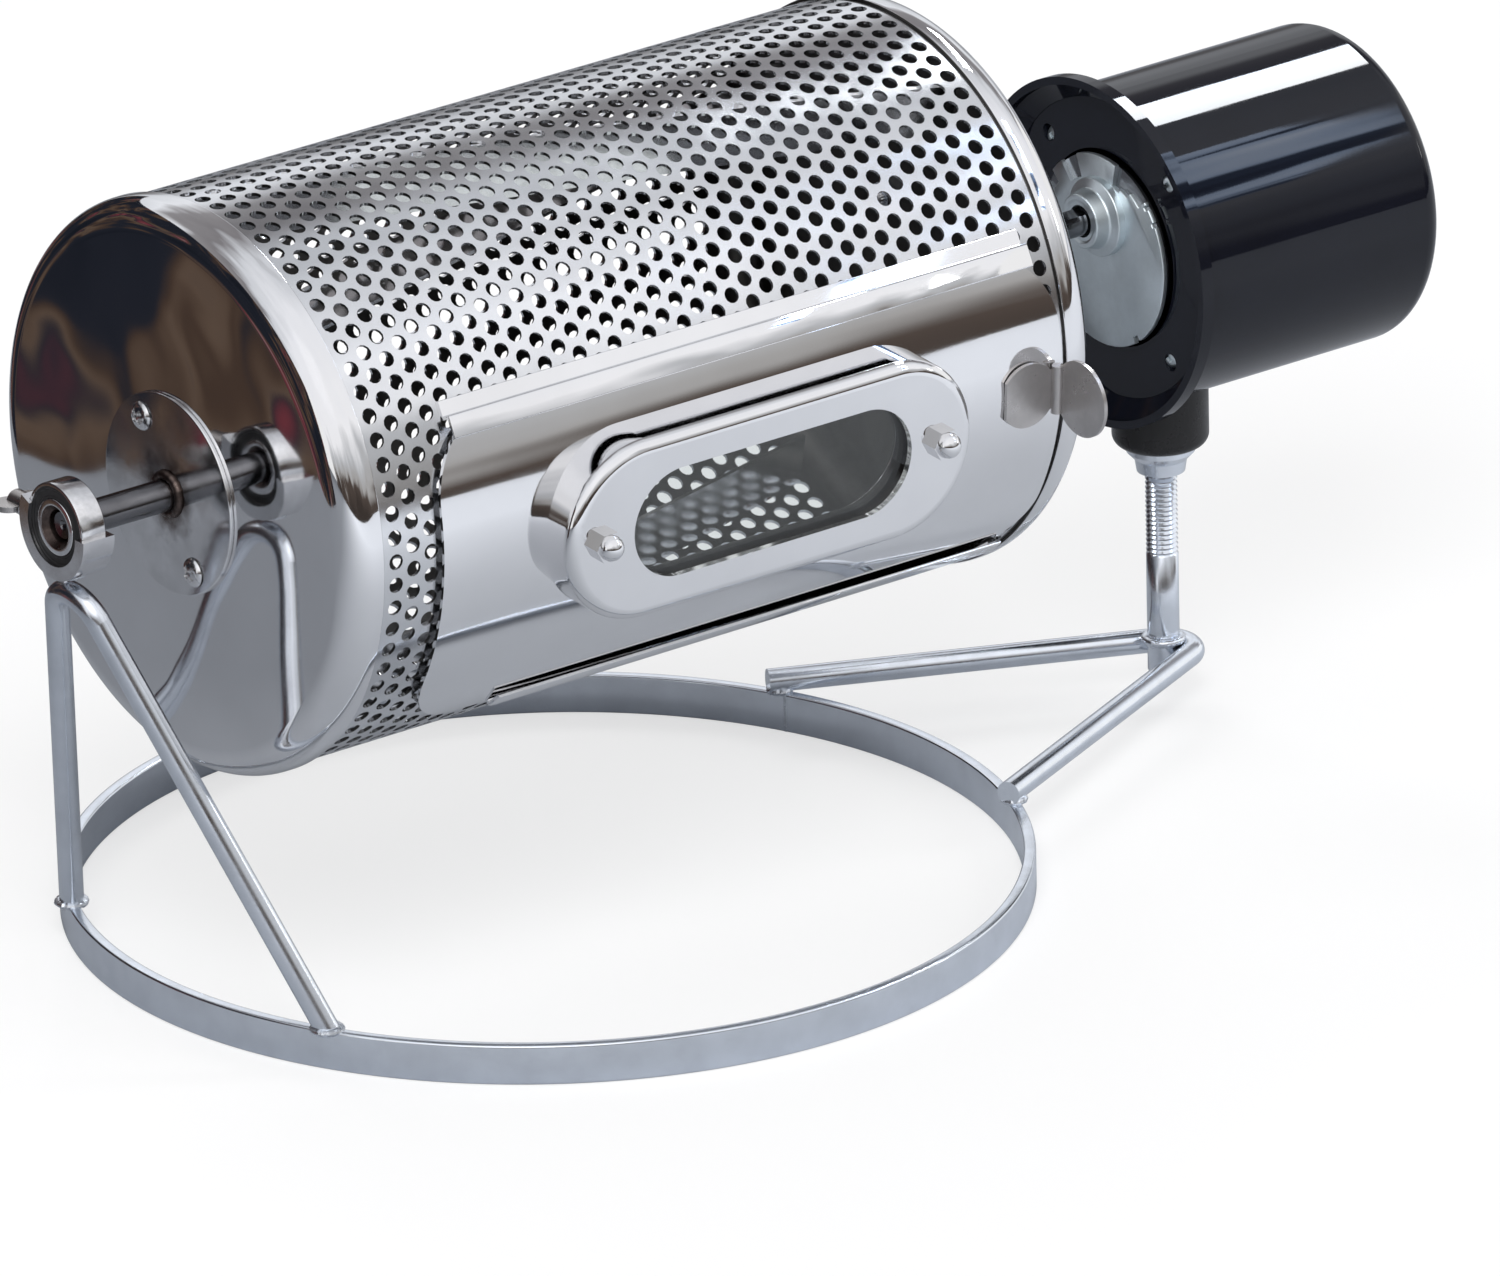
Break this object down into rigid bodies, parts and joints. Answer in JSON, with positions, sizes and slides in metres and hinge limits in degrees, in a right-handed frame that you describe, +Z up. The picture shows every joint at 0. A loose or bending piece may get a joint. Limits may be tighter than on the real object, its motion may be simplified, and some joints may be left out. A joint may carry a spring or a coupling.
{
  "type": "home coffee bean roaster",
  "caption": "Perforated steel drum with a windowed sliding door, turned by a gear motor on a wire stand with a hoop base, for roasting coffee over a burner.",
  "frame": {"origin": "on the table, under the middle of the object's box", "axes": "+X along the drum axis from the open bearing to the motor, -Y to the front where the door and window are, +Z up"},
  "size_m": [0.3937, 0.236, 0.203],
  "materials": {
    "zinc_steel": "bright zinc plating",
    "zinc_plate": "pale zinc plating",
    "mirror_steel": "mirror-polished stainless steel",
    "polished_steel": "polished stainless steel",
    "perforated_steel": "bright perforated stainless sheet",
    "satin_steel": "satin stamped steel",
    "bearing_steel": "ground bearing steel",
    "dark_steel": "dark turned steel",
    "black_enamel": "gloss black enamel",
    "black_moulding": "black heat-proof moulding",
    "seal_rubber": "black rubber",
    "tempered_glass": "clear heat-proof glass"
  },
  "bodies": {
    "stand": {"base_ring": "zinc_steel", "bearing_leg": "zinc_steel", "motor_brace": "zinc_steel", "motor_post": "zinc_steel", "post_collar": "zinc_steel", "housing_boss": "black_moulding", "bearing_saddle": "polished_steel", "bearing_outer_ring": "bearing_steel", "bearing_seals": "seal_rubber", "motor_housing": "black_enamel", "housing_front_ring": "black_enamel", "front_ring_screws": "zinc_steel", "housing_screw_lugs": "black_moulding", "cord_grommet": "seal_rubber", "gearbox_plate": "zinc_plate", "gearbox_case": "zinc_plate", "motor_can": "zinc_plate", "output_boss": "zinc_plate"},
    "ball_set": {"bearing_balls": "bearing_steel", "bearing_cage": "bearing_steel"},
    "drum": {"bearing_inner_ring": "bearing_steel", "drum_shaft": "dark_steel", "hub_plate_left": "polished_steel", "hub_plate_right": "polished_steel", "hub_screws": "polished_steel", "hub_nuts": "zinc_steel", "drum_cap_left": "mirror_steel", "drum_cap_right": "mirror_steel", "drum_shell": "perforated_steel", "mixing_vanes": "polished_steel", "door_rail_upper": "mirror_steel", "door_rail_lower": "mirror_steel", "drive_coupling": "dark_steel", "coupling_grub_screw": "dark_steel", "output_shaft": "dark_steel"},
    "door": {"door_panel": "mirror_steel", "window_frame": "mirror_steel", "window_glass": "tempered_glass", "window_gasket": "seal_rubber", "window_studs": "polished_steel", "window_cap_nuts": "mirror_steel", "door_tab": "satin_steel"},
    "wing_screw": {"saddle_wing_screw": "satin_steel"}
  },
  "joints": [
    {"name": "drum_spin", "type": "hinge", "parent": "stand", "child": "drum", "pos_m": [0, 0, 0.132], "axis": [1, 0, 0], "continuous": true},
    {"name": "ball_set_spin", "type": "hinge", "parent": "stand", "child": "ball_set", "pos_m": [0, 0, 0.132], "axis": [1, 0, 0], "continuous": true},
    {"name": "door_slide", "type": "slide", "parent": "drum", "child": "door", "axis": [1, 0, 0], "range_m": [0, 0.075]},
    {"name": "wing_screw_turn", "type": "hinge", "parent": "stand", "child": "wing_screw", "pos_m": [-0.19005, 0.012, 0.132], "axis": [0, 1, 0], "range_deg": [0, 270]}
  ],
  "couplings": [
    {"joint": "ball_set_spin", "follows": "drum_spin", "ratio": 0.3677}
  ]
}
